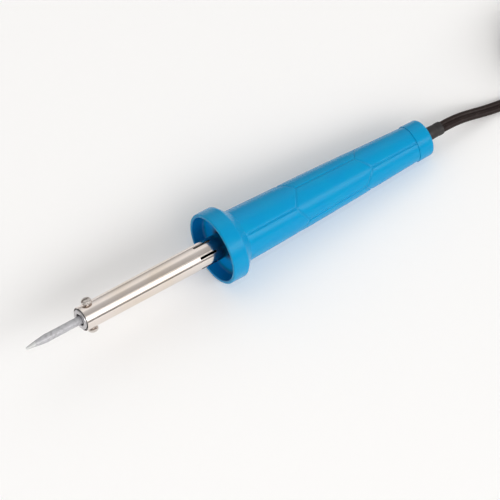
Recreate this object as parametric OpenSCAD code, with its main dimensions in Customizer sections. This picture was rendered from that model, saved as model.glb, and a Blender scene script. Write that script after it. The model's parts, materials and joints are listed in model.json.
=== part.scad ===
// Mains soldering iron with a cup-shaped heat guard, lying on its guard and on the end of its handle.
// Lengths are in millimetres. Places along the tool are measured from the point of the bit, along its axis.

/* [Bit] */
// Length of the whole copper bit
bit_length = 78; // [64:1:82]
// Diameter of the bit's shank
bit_d = 4.5; // [3:0.1:5]
// Length of the pointed end
point_length = 12.5; // [8:0.5:20]
// Diameter of the blunt end of the point
point_end_d = 1; // [0.6:0.1:2]
// How far the bit stands out of its collar
bit_reach = 33.5; // [25:0.5:38]

/* [Barrel] */
// Outer diameter of the barrel
barrel_d = 13.4; // [13.4:0.1:13.8]
// Wall thickness of the barrel
barrel_wall = 0.5; // [0.4:0.05:0.6]
// Distance from the collar's face to the guard's rim
barrel_show = 83.5; // [80:0.5:90]
// Number of vent slots round the barrel
vent_count = 6; // [4:1:8]
// Length of a vent slot
vent_length = 10.4; // [6:0.2:12]
// Width of a vent slot
vent_width = 1.4; // [0.8:0.1:1.6]

/* [Clamp screws] */
// Diameter of the two clamp screws
screw_d = 3; // [2.5:0.5:3]
// Diameter of a clamp screw's head
screw_head_d = 5.7; // [5:0.1:6.2]
// Height of a clamp screw's head
screw_head_h = 2; // [1.6:0.1:2.4]
// How far a head stands off the barrel
screw_stand_off = 1.1; // [0.5:0.1:1.6]

/* [Handle] */
// Outer diameter of the guard
guard_d = 40; // [38:0.5:44]
// Thickness of the guard's rim
guard_rim = 2; // [1.8:0.1:2.6]
// Depth of the cup in the guard
cup_depth = 7; // [5:0.5:8]
// Width of the guard's outer band
guard_width = 8.6; // [8:0.2:11]
// Diameter of the grip where it meets the guard
grip_front_d = 29; // [27:0.5:31]
// Diameter of the grip at its rear end
grip_rear_d = 19.8; // [19.4:0.1:21]
// Distance from the guard's rim to the end of the grip
grip_end = 125.4; // [120:0.2:130]
// How far the grip's outline bows outwards
grip_crown = 0.3; // [0:0.1:0.6]
// Diameter of the handle's inner bore
bore_d = 16.8; // [16.8:0.1:17.2]

/* [Cord] */
// Width of the flat twin cord
flex_w = 6.4; // [6:0.1:6.6]
// Thickness of the flat twin cord
flex_t = 3.6; // [3.4:0.1:3.8]
// Diameter of the strain relief at its end
boot_d = 7.1; // [7:0.1:7.6]
// How far the strain relief stands out of the handle
boot_reach = 10.7; // [8:0.1:20]
// Radius of the end loops of the tied hank, to its outside
hank_r = 28.6; // [28:0.1:32]
// Half the width of the hank under its tie
hank_waist = 12; // [11:0.5:14]
// Height of the hank
hank_h = 12.8; // [12.8:0.1:14]

/* [Hidden] */
$fn = 72;

gap = 0.1;              // assembly clearance between pieces that don't move
running = 0.06;         // radial clearance of a screw or a bit that moves
cut = 0.5;              // how far a cutting tool runs past the surface that it cuts
round_steps = 4;        // straight pieces in each rounded edge

// Places along the axis
collar_x = bit_reach;
collar_proud = 0.8;
collar_groove = 0.6;
collar_length = 12.5;
mouth_depth = 3;
barrel_x = collar_x + collar_proud;
screw_x = collar_x + 6.2;
guard_x = collar_x + barrel_show;
vent_x = guard_x - 0.7;
heater_x = collar_x + collar_length + 0.2;
heater_length = 38;
disc_t = 1.6;
heater_end_x = heater_x + heater_length;
wrap_x = heater_x + disc_t + gap;
wrap_length = heater_length - 2 * disc_t - 2 * gap;
floor_x = guard_x + cup_depth;
front_wall = 4;
seat_x = floor_x + front_wall;
washer_t = 1.9;
flange_t = 1;
flange_x = seat_x + washer_t + gap;
barrel_end_x = flange_x + flange_t;
crimp_x = barrel_end_x + 19;
crimp_length = 12;
crimp_mid = crimp_x + crimp_length / 2;
crimp_gap = 0.5;
strip_x = crimp_x + crimp_length + 1;
grip_end_x = guard_x + grip_end;
cap_length = 9.4;
cap_x = grip_end_x + 0.2;
cap_end_x = cap_x + cap_length;
boot_end_x = cap_end_x + boot_reach;
tail_x = cap_x - 20;
spigot_x = tail_x + 5;
clamp_bar_x = tail_x + 6;
clamp_bar_length = 5;

// Radii
bit_r = bit_d / 2;
barrel_r = barrel_d / 2;
barrel_in_r = barrel_r - barrel_wall;
screw_r = screw_d / 2;
screw_head_z = barrel_r + screw_stand_off;
guard_r = guard_d / 2;
cup_r = guard_r - guard_rim;
bore_r = bore_d / 2;
seat_r = barrel_r + 0.3;
flange_r = bore_r - 0.2;
cap_r = 10.25;
cap_rest_r = 10.1;
cap_edge = 2.2;
spigot_r = bore_r - gap;
boot_r = boot_d / 2;
lead_y = 4.2;
lead_r = 0.4;
core_y = 1.4;
core_r = 1.2;
collar_mouth_r = 3.3;
crimp_r = 1.5;

// The heater's layers, from the bit outwards: steel core, mica, winding, mica, steel sleeve
layer_gap = 0.05;
heater_in_r = bit_r + running;
core_out_r = 3.2;
inner_mica_r = 3.8;
wind_low_r = 4.2;
wind_r = 4.6;
outer_mica_r = 5.3;
shell_r = 5.8;

// The cord's anchorage in the rear cap
clamp_bar_w = 10.4;
clamp_bar_t = 1.3;
clamp_screw_y = 4.2;
clamp_screw_r = 0.8;
cavity_r = 7.3;

// Roll angles round the axis, from straight up towards the front of the model
screw_roll = -27.5;
vent_roll = 42.5;

// The rims on which the tool lies: the rear edge of the guard's band and the edge of the rear cap
guard_edge = 1.4;
guard_rest_x = guard_x + guard_width;
cap_rest_x = cap_end_x - cap_edge;
tilt = atan2(guard_r - cap_rest_r, cap_rest_x - guard_rest_x);
lift = guard_rest_x * sin(tilt) + guard_r * cos(tilt);
mid_x = (boot_end_x * cos(tilt) + (boot_r - point_end_d / 2) * sin(tilt)) / 2;

// The cord's route on the bench, from the strain relief to the hank, and from the hank to the plug
axis_dir = [cos(tilt), 0, -sin(tilt)];
cord_exit = [boot_end_x * cos(tilt) - mid_x, 0, lift - boot_end_x * sin(tilt)];
flex_sides = 10;
lead_route = concat([cord_exit, cord_exit + 5 * axis_dir], [
    [141, -0.1, 7.9], [146, -0.3, 6.6], [151, -0.7, 5.1], [156, -1.2, 3.6], [161, -1.8, 2.5],
    [166, -2.6, 2], [171, -3.7, 1.9], [176, -5.1, 1.9], [181, -6.9, 2], [186, -9, 2.3],
    [191, -11.3, 2.8], [196, -13.5, 3.4], [201, -15.6, 3.5]
]);
end_route = [
    [189.4, 4.6, 14.4], [191.2, -1.1, 15], [194.4, -6.2, 15], [200.5, -11.3, 15], [208, -14, 15],
    [216, -14, 15], [221, -12.6, 15.2], [225.7, -10.1, 15.6], [229.8, -6.7, 16.1], [232.8, -2.9, 16.6],
    [235.8, 0.9, 17.2], [239.9, 4.3, 18.1], [244.5, 6.8, 19.2], [249.2, 8.1, 20.2], [254, 8.6, 20.8]
];

// The hank: two round loops joined by a narrow waist, lying in line with the tool
hank_start = [212, 8.6];
hank_bend = 17.4;
hank_half = sqrt(2 * hank_bend * (hank_r - hank_waist) + pow(hank_r, 2) - pow(hank_waist, 2));
waist_x = hank_start[0] + hank_half;
hank_y = hank_start[1];
tie_t = 0.8;
tie_w = 8;
hank_z = tie_t + gap;

// The plug lies on the hank with its blades pointing away from the tool
plug_w = 24;
plug_t = 14;
plug_length = 23;
plug_neck = 15;
plug_x = waist_x + 6.6;
plug_neck_r = 5;
plug_corner = 4;
plug_body_x = plug_x + plug_neck;
plug_z = hank_z + hank_h + gap + plug_t / 2;
blade_pitch = 12.7;
blade_w = 6.35;
blade_t = 1.5;
blade_reach = 17.5;
blade_root = 9;
blade_hole_r = 1.65;
blade_hole_in = 3.5;

// Points on an arc, as [place along the axis, radius]
function arc(x, r, size, from, to) = [
    for (i = [0:round_steps])
        let (a = from + (to - from) * i / round_steps) [x + size * cos(a), r + size * sin(a)]
];

// Radius of the grip, with u running from 0 at the guard to 1 at the rear end
function grip_r(u) = (grip_front_d + (grip_rear_d - grip_front_d) * u) / 2 + grip_crown * sin(180 * u);

// Puts the tool's axis where it lies on the bench
module lying() {
    translate([-mid_x, 0, lift]) rotate([0, tilt, 0]) children();
}

// A piece turned about the tool's axis from an outline of [place along the axis, radius]
module turned(outline) {
    rotate([0, 90, 0]) rotate_extrude() polygon([for (p = outline) [p[1], p[0]]]);
}

module sleeve(x, length, outer, inner) {
    translate([x, 0, 0]) rotate([0, 90, 0]) difference() {
        cylinder(h = length, r = outer);
        translate([0, 0, -cut]) cylinder(h = length + 2 * cut, r = inner);
    }
}

module rod(from, to, r) {
    way = to - from;
    translate(from)
        rotate([0, acos(way[2] / norm(way)), atan2(way[1], way[0])])
            cylinder(h = norm(way), r = r, $fn = 24);
}

module bar(from, size) {
    translate(from) cube(size);
}

// A screw hole or screw body standing across the axis at one roll angle
module across_axis(x, roll) {
    rotate([roll, 0, 0]) translate([x, 0, 0]) children();
}

module tip() {
    steps = 8;
    fullness = 0.7;
    shoulder = 1.2;
    shoulder_r = bit_r + 0.1;
    chamfer = 0.5;
    end_r = point_end_d / 2;
    color("silver") lying() turned(concat(
        [[0, 0]],
        [for (i = [0:steps]) let (u = i / steps)
            [point_length * u, end_r + (shoulder_r - end_r) * pow(u, fullness)]],
        [[point_length + shoulder, bit_r], [bit_length - chamfer, bit_r], [bit_length, bit_r - chamfer],
        [bit_length, 0]]
    ));
}

module bit_collar() {
    body_r = barrel_in_r - gap / 2;
    boss_r = barrel_in_r - collar_groove;
    groove_x = barrel_x + collar_groove;
    chamfer = 0.3;
    color("lightgray") lying() difference() {
        turned([
            [collar_x, collar_mouth_r], [collar_x, boss_r - chamfer],
            [collar_x + chamfer, boss_r], [groove_x, boss_r],
            [groove_x, body_r], [collar_x + collar_length, body_r],
            [collar_x + collar_length, heater_in_r], [collar_x + mouth_depth, heater_in_r],
            [collar_x + mouth_depth, collar_mouth_r]
        ]);
        for (roll = [screw_roll, screw_roll + 180])
            across_axis(screw_x, roll) cylinder(h = barrel_r, r = screw_r + running, $fn = 48);
    }
}

// One clamp screw, pointing outwards, with its point just clear of the bit
module clamp_screw(roll) {
    slot_w = 0.8;
    slot_deep = 1;
    edge = 0.6;
    head_r = screw_head_d / 2;
    point_z = bit_r + gap;
    top_z = screw_head_z + screw_head_h;
    color("lightgray") lying() across_axis(screw_x, roll) difference() {
        union() {
            translate([0, 0, point_z]) cylinder(h = screw_head_z - point_z + gap, r = screw_r, $fn = 48);
            translate([0, 0, screw_head_z]) rotate_extrude($fn = 48) polygon(concat(
                [[0, 0], [head_r, 0]],
                arc(head_r - edge, screw_head_h - edge, edge, 0, 90),
                [[0, screw_head_h]]
            ));
        }
        translate([-head_r - cut, -slot_w / 2, top_z - slot_deep])
            cube([screw_head_d + 2 * cut, slot_w, slot_deep + cut]);
    }
}

module clamp_screw_upper() { clamp_screw(screw_roll); }

module clamp_screw_lower() { clamp_screw(screw_roll + 180); }

module vent_cutter() {
    straight = vent_length - vent_width;
    translate([vent_x - vent_length + vent_width / 2, 0, barrel_in_r - cut]) {
        translate([0, -vent_width / 2, 0]) cube([straight, vent_width, barrel_wall + 2 * cut]);
        for (x = [0, straight])
            translate([x, 0, 0]) cylinder(h = barrel_wall + 2 * cut, d = vent_width, $fn = 24);
    }
}

module barrel() {
    hole_r = screw_r + 0.3;
    color("gainsboro") lying() difference() {
        turned([
            [barrel_x, barrel_in_r], [barrel_x, barrel_r], [flange_x, barrel_r], [flange_x, flange_r],
            [barrel_end_x, flange_r], [barrel_end_x, barrel_in_r]
        ]);
        for (i = [0:vent_count - 1])
            rotate([vent_roll + 360 * i / vent_count, 0, 0]) vent_cutter();
        across_axis(screw_x, screw_roll)
            translate([0, 0, -barrel_d]) cylinder(h = 2 * barrel_d, r = hole_r, $fn = 48);
    }
}

module heater_core() {
    color("slategray") lying() sleeve(heater_x, heater_length, core_out_r, heater_in_r);
}

module inner_mica() {
    color("goldenrod") lying() sleeve(wrap_x, wrap_length, inner_mica_r, core_out_r + layer_gap);
}

module heater_winding() {
    turns = 24;
    margin = 2;
    slant = 0.3;
    wind_x = wrap_x + margin;
    wind_in_r = inner_mica_r + layer_gap;
    pitch = (wrap_length - 2 * margin) / turns;
    color("darkgray") lying() turned(concat(
        [[wind_x, wind_in_r]],
        [for (i = [0:turns - 1]) each [
            [wind_x + pitch * i, wind_low_r], [wind_x + pitch * (i + slant), wind_r],
            [wind_x + pitch * (i + 1 - slant), wind_r]
        ]],
        [[wind_x + pitch * turns, wind_low_r], [wind_x + pitch * turns, wind_in_r]]
    ));
}

module outer_mica() {
    color("goldenrod") lying() sleeve(wrap_x, wrap_length, outer_mica_r, wind_r + layer_gap);
}

module heater_shell() {
    color("lightslategray") lying() sleeve(wrap_x, wrap_length, shell_r, outer_mica_r + layer_gap);
}

module ceramic_discs() {
    wire_hole_r = lead_r + 0.2;
    color("ivory") lying() for (x = [heater_x, heater_end_x - disc_t])
        difference() {
            sleeve(x, disc_t, barrel_in_r - gap, core_out_r + layer_gap);
            for (y = [-lead_y, lead_y])
                rod([x - cut, y, 0], [x + disc_t + cut, y, 0], wire_hole_r);
        }
}

module ceramic_beads() {
    beads = 5;
    bead_length = 8;
    bead_r = 1.6;
    bead_bore_r = lead_r + 0.15;
    pitch = bead_length + 0.4;
    row_x = heater_end_x + 1.5;
    color("ivory") lying() for (i = [0:beads - 1], y = [-lead_y, lead_y])
        translate([0, y, 0]) sleeve(row_x + i * pitch, bead_length, bead_r, bead_bore_r);
}

module heater_leads() {
    color("silver") lying() for (y = [-lead_y, lead_y])
        rod([heater_end_x - disc_t - gap, y, 0], [crimp_mid - crimp_gap, y, 0], lead_r);
}

module heat_washer() {
    color("tan") lying() sleeve(seat_x + gap / 2, washer_t, flange_r, barrel_r + gap);
}

module ring_nut() {
    length = 5;
    notch_w = 1.6;
    notch_deep = 0.8;
    start_x = barrel_end_x + gap / 2;
    color("goldenrod") lying() difference() {
        sleeve(start_x, length, flange_r, barrel_in_r);
        for (roll = [0, 90])
            across_axis(start_x + length - notch_deep, roll)
                bar([0, -bore_r, -notch_w / 2], [notch_deep + cut, bore_d, notch_w]);
    }
}

module handle() {
    lip = 0.7;
    lip_in = 0.5;
    corner = 1.5;
    slope = 45;
    slope_r = guard_edge * (1 - cos(slope));
    slope_x = guard_rest_x + guard_edge * sin(slope);
    grip_x = slope_x + guard_r - slope_r - grip_front_d / 2;
    grip_steps = 12;
    color("deepskyblue") lying() turned(concat(
        [[floor_x, seat_r]],
        arc(floor_x - corner, cup_r - corner, corner, 0, 90),
        arc(guard_x + lip_in, cup_r + lip_in, lip_in, 270, 180),
        arc(guard_x + lip, guard_r - lip, lip, 180, 90),
        arc(guard_rest_x, guard_r - guard_edge, guard_edge, 90, 90 - slope),
        [for (i = [0:grip_steps])
            let (u = i / grip_steps) [grip_x + (grip_end_x - grip_x) * u, grip_r(u)]],
        [[grip_end_x, bore_r], [seat_x, bore_r], [seat_x, seat_r]]
    ));
}

module wire_crimps() {
    color("gold") lying() for (y = [-lead_y, lead_y])
        translate([0, y, 0]) sleeve(crimp_x, crimp_length, crimp_r, lead_r + gap);
}

module crimp_sleeves() {
    past = 3;
    wall = 0.5;
    inner_r = crimp_r + gap;
    color("white") lying() for (y = [-lead_y, lead_y])
        translate([0, y, 0]) sleeve(crimp_x - past, crimp_length + 2 * past, inner_r + wall, inner_r);
}

// The cord's two cores, bare in the crimps and insulated from there to the jacket
module cord_cores() {
    for (y = [-1, 1])
        color(y < 0 ? "brown" : "royalblue") lying() {
            rod([crimp_mid + crimp_gap, y * lead_y, 0], [strip_x + crimp_gap, y * lead_y, 0], lead_r);
            rod([strip_x, y * lead_y, 0], [tail_x - gap, y * core_y, 0], core_r);
        }
}

// Section of the flat twin cord, its width along x
module flex_section(grow) {
    side = (flex_w - flex_t) / 2;
    dip = 0.4;
    for (x = [-side, side]) translate([x, 0]) circle(d = flex_t + 2 * grow, $fn = 32);
    square([2 * side, flex_t - 2 * dip + 2 * grow], center = true);
}

module flex_stretch(x, length, grow) {
    translate([x, 0, 0]) rotate([90, 0, 90]) linear_extrude(length) flex_section(grow);
}

module cord_tail() {
    color("#2b2423") lying() flex_stretch(tail_x, boot_end_x - tail_x, 0);
}

// Puts its children at each of the two screws that hold the cord clamp
module at_clamp_screws() {
    for (y = [-clamp_screw_y, clamp_screw_y])
        translate([clamp_bar_x + clamp_bar_length / 2, y, 0]) children();
}

module cord_clamp() {
    color("dimgray") lying() difference() {
        bar([clamp_bar_x, -clamp_bar_w / 2, flex_t / 2 + gap], [clamp_bar_length, clamp_bar_w, clamp_bar_t]);
        at_clamp_screws() cylinder(h = flex_t, r = clamp_screw_r + gap, $fn = 24);
    }
}

module cord_clamp_screws() {
    reach = 4.5;
    head_r = 1.4;
    head_h = 1;
    head_z = flex_t / 2 + 2 * gap + clamp_bar_t;
    color("silver") lying() at_clamp_screws() {
        translate([0, 0, -reach]) cylinder(h = head_z + reach + gap, r = clamp_screw_r, $fn = 24);
        translate([0, 0, head_z]) cylinder(h = head_h, r = head_r, $fn = 24);
    }
}

module rear_cap() {
    wall = 5.2;
    hole_r = boot_r + 0.4;
    lip = 0.5;
    thread_depth = 5;
    color("deepskyblue") lying() {
        turned(concat(
            [[spigot_x, cavity_r], [spigot_x, spigot_r], [cap_x, spigot_r]],
            arc(cap_x + lip, cap_r - lip, lip, 180, 90),
            arc(cap_rest_x, cap_rest_r - cap_edge, cap_edge, 90, 0),
            [[cap_end_x, hole_r], [cap_end_x - wall, hole_r], [cap_end_x - wall, cavity_r]]
        ));
        difference() {
            intersection() {
                translate([clamp_bar_x, 0, 0]) rotate([0, 90, 0])
                    cylinder(h = clamp_bar_length, r = (cavity_r + spigot_r) / 2);
                bar([clamp_bar_x, -bore_r, -bore_r - flex_t / 2 - gap], [clamp_bar_length, bore_d, bore_r]);
            }
            at_clamp_screws() translate([0, 0, -thread_depth])
                cylinder(h = thread_depth, r = clamp_screw_r + gap, $fn = 24);
        }
    }
}

module cord_boot() {
    inner_x = cap_x - 2.5;
    inner_r = 4.2;
    flange_x = cap_end_x - 8;
    flange_end_x = flange_x + 2.6;
    flange_r = 5.8;
    neck_r = boot_r + 0.3;
    end_edge = 0.2;
    flex_gap = 0.03;
    color("#1d1a1a") lying() difference() {
        turned([
            [inner_x, 0], [inner_x, inner_r], [flange_x, inner_r + 0.2], [flange_x, flange_r],
            [flange_end_x, flange_r], [flange_end_x, neck_r], [cap_end_x + 1, neck_r],
            [boot_end_x - end_edge, boot_r], [boot_end_x, boot_r - end_edge], [boot_end_x, 0]
        ]);
        flex_stretch(inner_x - cut, boot_end_x - inner_x + 2 * cut, flex_gap);
    }
}

// A tube of oval section along a route
module flex_tube(route) {
    last = len(route) - 1;
    function way(i) = let (d = route[min(i + 1, last)] - route[max(i - 1, 0)]) d / norm(d);
    function side(i) = let (s = cross([0, 0, 1], way(i))) s / norm(s);
    points = [for (i = [0:last], k = [0:flex_sides - 1])
        let (a = 360 * k / flex_sides, s = side(i), u = cross(way(i), s))
            route[i] + s * cos(a) * flex_w / 2 + u * sin(a) * flex_t / 2];
    walls = [for (i = [0:last - 1], k = [0:flex_sides - 1])
        let (next = (k + 1) % flex_sides, a = i * flex_sides)
            [a + k, a + flex_sides + k, a + flex_sides + next, a + next]];
    ends = [
        [for (k = [0:flex_sides - 1]) k],
        [for (k = [flex_sides - 1:-1:0]) last * flex_sides + k]
    ];
    polyhedron(points, concat(walls, ends));
}

module cord() {
    color("#2b2423") {
        flex_tube(lead_route);
        flex_tube(end_route);
    }
}

module hank_outline() {
    bend_y = hank_bend + hank_waist;
    meet = atan2(bend_y, hank_half);
    steps = 24;
    function sweep(x, y, r, from, to) = [
        for (i = [0:steps]) let (a = from + (to - from) * i / steps) [x + r * cos(a), y + r * sin(a)]
    ];
    polygon(concat(
        sweep(hank_half, 0, hank_r, meet - 180, 180 - meet),
        sweep(0, bend_y, hank_bend, -meet, meet - 180),
        sweep(-hank_half, 0, hank_r, meet, 360 - meet),
        sweep(0, -bend_y, hank_bend, 180 - meet, meet)
    ));
}

module cord_hank() {
    color("#2b2423") translate([waist_x, hank_y, hank_z]) linear_extrude(hank_h) hank_outline();
}

module rounded_rect(w, h, r) {
    square([w - 2 * r, h], center = true);
    square([w, h - 2 * r], center = true);
    for (x = [r - w / 2, w / 2 - r], y = [r - h / 2, h / 2 - r])
        translate([x, y]) circle(r = r, $fn = 32);
}

module hank_tie() {
    inner_w = 2 * hank_waist + 1;
    inner_h = hank_h + 2 * gap;
    inner_corner = 0.1;
    corner = 2;
    color("black") translate([waist_x - tie_w / 2, hank_y, tie_t + inner_h / 2]) rotate([90, 0, 90])
        linear_extrude(tie_w) difference() {
            rounded_rect(inner_w + 2 * tie_t, inner_h + 2 * tie_t, corner);
            rounded_rect(inner_w, inner_h, inner_corner);
        }
}

// One blade, standing at the middle of the plug's own frame
module plug_blade(grow) {
    length = blade_reach + blade_root;
    translate([plug_length - blade_root, -blade_t / 2 - grow, -blade_w / 2 - grow])
        cube([length, blade_t + 2 * grow, blade_w + 2 * grow]);
}

// Puts the plug's own frame on the hank, its origin where the neck meets the body
module in_plug() {
    translate([plug_body_x, hank_y, plug_z]) children();
}

module plug_body() {
    neck_taper = 0.8;
    color("#1d1a1a") in_plug() difference() {
        union() {
            rotate([90, 0, 90]) linear_extrude(plug_length) rounded_rect(plug_w, plug_t, plug_corner);
            turned([
                [-plug_neck, 0], [-plug_neck, plug_neck_r - neck_taper], [gap, plug_neck_r], [gap, 0]
            ]);
        }
        for (y = [-blade_pitch / 2, blade_pitch / 2]) translate([0, y, 0]) plug_blade(gap / 4);
    }
}

module plug_blades() {
    color("silver") in_plug() for (y = [-blade_pitch / 2, blade_pitch / 2])
        translate([0, y, 0]) difference() {
            plug_blade(0);
            translate([plug_length + blade_reach - blade_hole_in, blade_t, 0])
                rotate([90, 0, 0]) cylinder(h = 2 * blade_t, r = blade_hole_r, $fn = 32);
        }
}

tip();
bit_collar();
clamp_screw_upper();
clamp_screw_lower();
barrel();
heater_core();
inner_mica();
heater_winding();
outer_mica();
heater_shell();
ceramic_discs();
ceramic_beads();
heater_leads();
heat_washer();
ring_nut();
handle();
wire_crimps();
crimp_sleeves();
cord_cores();
cord_tail();
cord_clamp();
cord_clamp_screws();
rear_cap();
cord_boot();
cord();
cord_hank();
hank_tie();
plug_body();
plug_blades();
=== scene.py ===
# %% [markdown]
# # A mains soldering iron, piece by piece
#
# A classic iron with a fixed heater: a copper bit held in a steel collar by two screws, a nickel-plated
# barrel, and a blue handle that flares into a cup to keep the hand off the heat. It lies on a bench on the
# rim of its guard and the end of its handle, and its flat mains lead leaves the rear.
# The packed model fixes every size and place. Here each piece gets its real surface and finish.

# %% The packed model
import json
import math

import bmesh
import bpy
import numpy as np
from mathutils import Matrix, Vector


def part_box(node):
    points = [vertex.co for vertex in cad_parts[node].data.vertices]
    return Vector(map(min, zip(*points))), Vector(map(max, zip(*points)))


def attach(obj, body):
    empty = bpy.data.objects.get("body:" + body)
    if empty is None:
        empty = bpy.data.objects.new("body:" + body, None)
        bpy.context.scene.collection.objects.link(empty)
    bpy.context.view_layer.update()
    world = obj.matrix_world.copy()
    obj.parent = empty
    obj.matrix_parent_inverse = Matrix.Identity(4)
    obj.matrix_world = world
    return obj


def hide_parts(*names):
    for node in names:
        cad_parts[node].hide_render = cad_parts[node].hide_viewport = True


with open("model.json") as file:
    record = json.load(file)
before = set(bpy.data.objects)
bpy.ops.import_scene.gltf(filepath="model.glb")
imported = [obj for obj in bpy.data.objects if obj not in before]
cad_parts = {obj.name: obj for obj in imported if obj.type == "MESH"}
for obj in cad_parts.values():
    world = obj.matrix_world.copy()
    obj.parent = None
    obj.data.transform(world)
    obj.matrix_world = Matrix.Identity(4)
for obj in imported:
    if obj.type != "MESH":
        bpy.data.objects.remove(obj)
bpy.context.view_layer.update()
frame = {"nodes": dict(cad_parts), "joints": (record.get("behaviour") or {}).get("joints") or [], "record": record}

# %% [markdown]
# ## Where the tool lies
#
# Nearly every piece of an iron is round about one axis, so it is easiest to build it lying straight along
# X, in millimetres from the point of the bit, and to place it at the end. The axis could be typed in, but
# the model already knows it: the bit slides along it, and the stand's mount lies on it.

# %% The tool's own frame
MM = 0.001
POINT_R = 0.5
slide = next(joint for joint in frame["joints"] if joint["name"] == "bit_slide")
mounts = {mount["name"]: mount for mount in frame["record"]["mounts"]}
along = -Vector(slide["axis"]).normalized()
tilt = math.atan2(-along.z, along.x)
on_axis = Vector(mounts["barrel_in_stand"]["pos_m"])
point_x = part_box("tip")[0].x + POINT_R * MM * math.sin(tilt)
start = on_axis + along * ((point_x - on_axis.x) / along.x)
TOOL = Matrix.Translation(start) @ Matrix.Rotation(tilt, 4, "Y")
BENCH = Matrix.Identity(4)
print("tilt of the axis:", round(math.degrees(tilt), 3), "degrees, point of the bit at", tuple(start))

# %% [markdown]
# ## The camera
#
# The view is the one in which such a tool is sold: from above and to one side, far away, so that the sides
# of the handle run almost parallel. A long lens gives that flat drawing-like view, and the other views can
# still fit the whole object in, which they couldn't with an orthographic camera.

# %% Camera
def make_camera(azimuth, elevation, width, aim, lens):
    """A camera that looks at aim, given in its own right, up and back directions, and sees width there."""
    a, e = math.radians(azimuth), math.radians(elevation)
    back = Vector((math.sin(a) * math.cos(e), -math.cos(a) * math.cos(e), math.sin(e)))
    right = Vector((math.cos(a), math.sin(a), 0))
    up = back.cross(right)
    data = bpy.data.cameras.new("camera")
    data.lens = lens
    data.clip_end = 100
    camera = bpy.data.objects.new("camera", data)
    bpy.context.scene.collection.objects.link(camera)
    far = width * lens / data.sensor_width
    camera.location = right * aim[0] + up * aim[1] + back * (aim[2] + far)
    camera.rotation_mode = "QUATERNION"
    camera.rotation_quaternion = (-back).to_track_quat("-Z", "Y")
    bpy.context.scene.camera = camera
    return camera


camera = make_camera(-35.3, 56.2, width=0.258, aim=(0.00776, 0.0043, 0.016), lens=1200)
print("camera at", tuple(round(v, 3) for v in camera.location))

# %% [markdown]
# ## Light and floor
#
# Bright round metal shows the room, not itself: the long bands on the barrel are reflections. So the room
# is a plain studio: a wide bright wall on the near side, a softer one behind, and a thin dark gap where two
# walls meet. A world whose brightness depends on the direction does that with no lamp in sight. In it one
# strip is much brighter, which draws the long highlight on the handle. A broad lamp adds the soft shadow.

# %% A room of bands
def gap_in(level, middle, half, depth):
    """Stops of a ramp that dips to depth for a narrow gap and comes back to level."""
    return [(middle - half, level), (middle, depth), (middle + half, level)]


def make_room(stops, shown, front):
    """A world lit by bands along X; stops are (degrees from straight up towards -Y, brightness).

    The room is dimmer, down to front, on the side that the bit points to.
    """
    world = bpy.data.worlds.new("studio")
    bpy.context.scene.world = world
    world.use_nodes = True
    nodes, links = world.node_tree.nodes, world.node_tree.links
    background = nodes["Background"]
    way = nodes.new("ShaderNodeSeparateXYZ")
    links.new(nodes.new("ShaderNodeTexCoord").outputs["Generated"], way.inputs[0])
    flip = nodes.new("ShaderNodeMath")
    flip.operation = "MULTIPLY"
    flip.inputs[1].default_value = -1
    links.new(way.outputs["Y"], flip.inputs[0])
    angle = nodes.new("ShaderNodeMath")
    angle.operation = "ARCTAN2"
    links.new(flip.outputs[0], angle.inputs[0])
    links.new(way.outputs["Z"], angle.inputs[1])
    turn = nodes.new("ShaderNodeMapRange")
    turn.inputs["From Min"].default_value = -math.pi
    turn.inputs["From Max"].default_value = math.pi
    links.new(angle.outputs[0], turn.inputs["Value"])
    peak = max(level for _, level in stops)
    background.inputs["Strength"].default_value = peak
    ramp = nodes.new("ShaderNodeValToRGB")
    while len(ramp.color_ramp.elements) < len(stops):
        ramp.color_ramp.elements.new(0.5)
    for element, (degrees, level) in zip(ramp.color_ramp.elements, stops):
        element.position = degrees / 360 + 0.5
        element.color = (level / peak, level / peak * 0.985, level / peak * 0.97, 1)
    links.new(turn.outputs[0], ramp.inputs[0])
    dim = nodes.new("ShaderNodeMapRange")
    dim.interpolation_type = "SMOOTHSTEP"
    for socket, value in (("From Min", -0.95), ("From Max", -0.3), ("To Min", front)):
        dim.inputs[socket].default_value = value
    links.new(way.outputs["X"], dim.inputs["Value"])
    dimmed = nodes.new("ShaderNodeVectorMath")
    dimmed.operation = "SCALE"
    links.new(ramp.outputs[0], dimmed.inputs[0])
    links.new(dim.outputs[0], dimmed.inputs["Scale"])
    plain = nodes.new("ShaderNodeMix")
    plain.data_type = "RGBA"
    links.new(nodes.new("ShaderNodeLightPath").outputs["Is Camera Ray"], plain.inputs[0])
    links.new(dimmed.outputs[0], plain.inputs[6])
    plain.inputs[7].default_value = (shown / peak, shown / peak, shown / peak, 1)
    links.new(plain.outputs[2], background.inputs["Color"])
    return world


room = make_room(
    [(-180, 0.5), (-93, 0.35), (-78, 0.5), (-52, 0.9), (-26, 1.0), (-10, 0.6), (14, 0.5)]
    + gap_in(0.5, 30, 6, 0.2)
    + [(44, 0.9), (47, 3.6), (64, 3.6), (67, 1.2), (75, 1.0)]
    + gap_in(0.6, 85, 8, 0.02)
    + [(120, 0.6)],
    shown=1.0,
    front=0.25,
)
bpy.context.scene.view_settings.view_transform = "Standard"
print("room of banded light:", room.name)

# %% Softbox
lamp_data = bpy.data.lights.new("softbox", "AREA")
lamp_data.shape = "RECTANGLE"
lamp_data.size, lamp_data.size_y = 1.6, 1.1
lamp_data.energy = 4.7
lamp_data.color = (1, 0.985, 0.965)
lamp = bpy.data.objects.new("softbox", lamp_data)
lamp.location = (-0.35, -0.95, 1.15)
lamp.rotation_mode = "QUATERNION"
lamp.rotation_quaternion = (-lamp.location).to_track_quat("-Z", "Y")
bpy.context.scene.collection.objects.link(lamp)
print("softbox of", lamp_data.size, "by", round(lamp_data.size_y, 2), "m")


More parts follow.
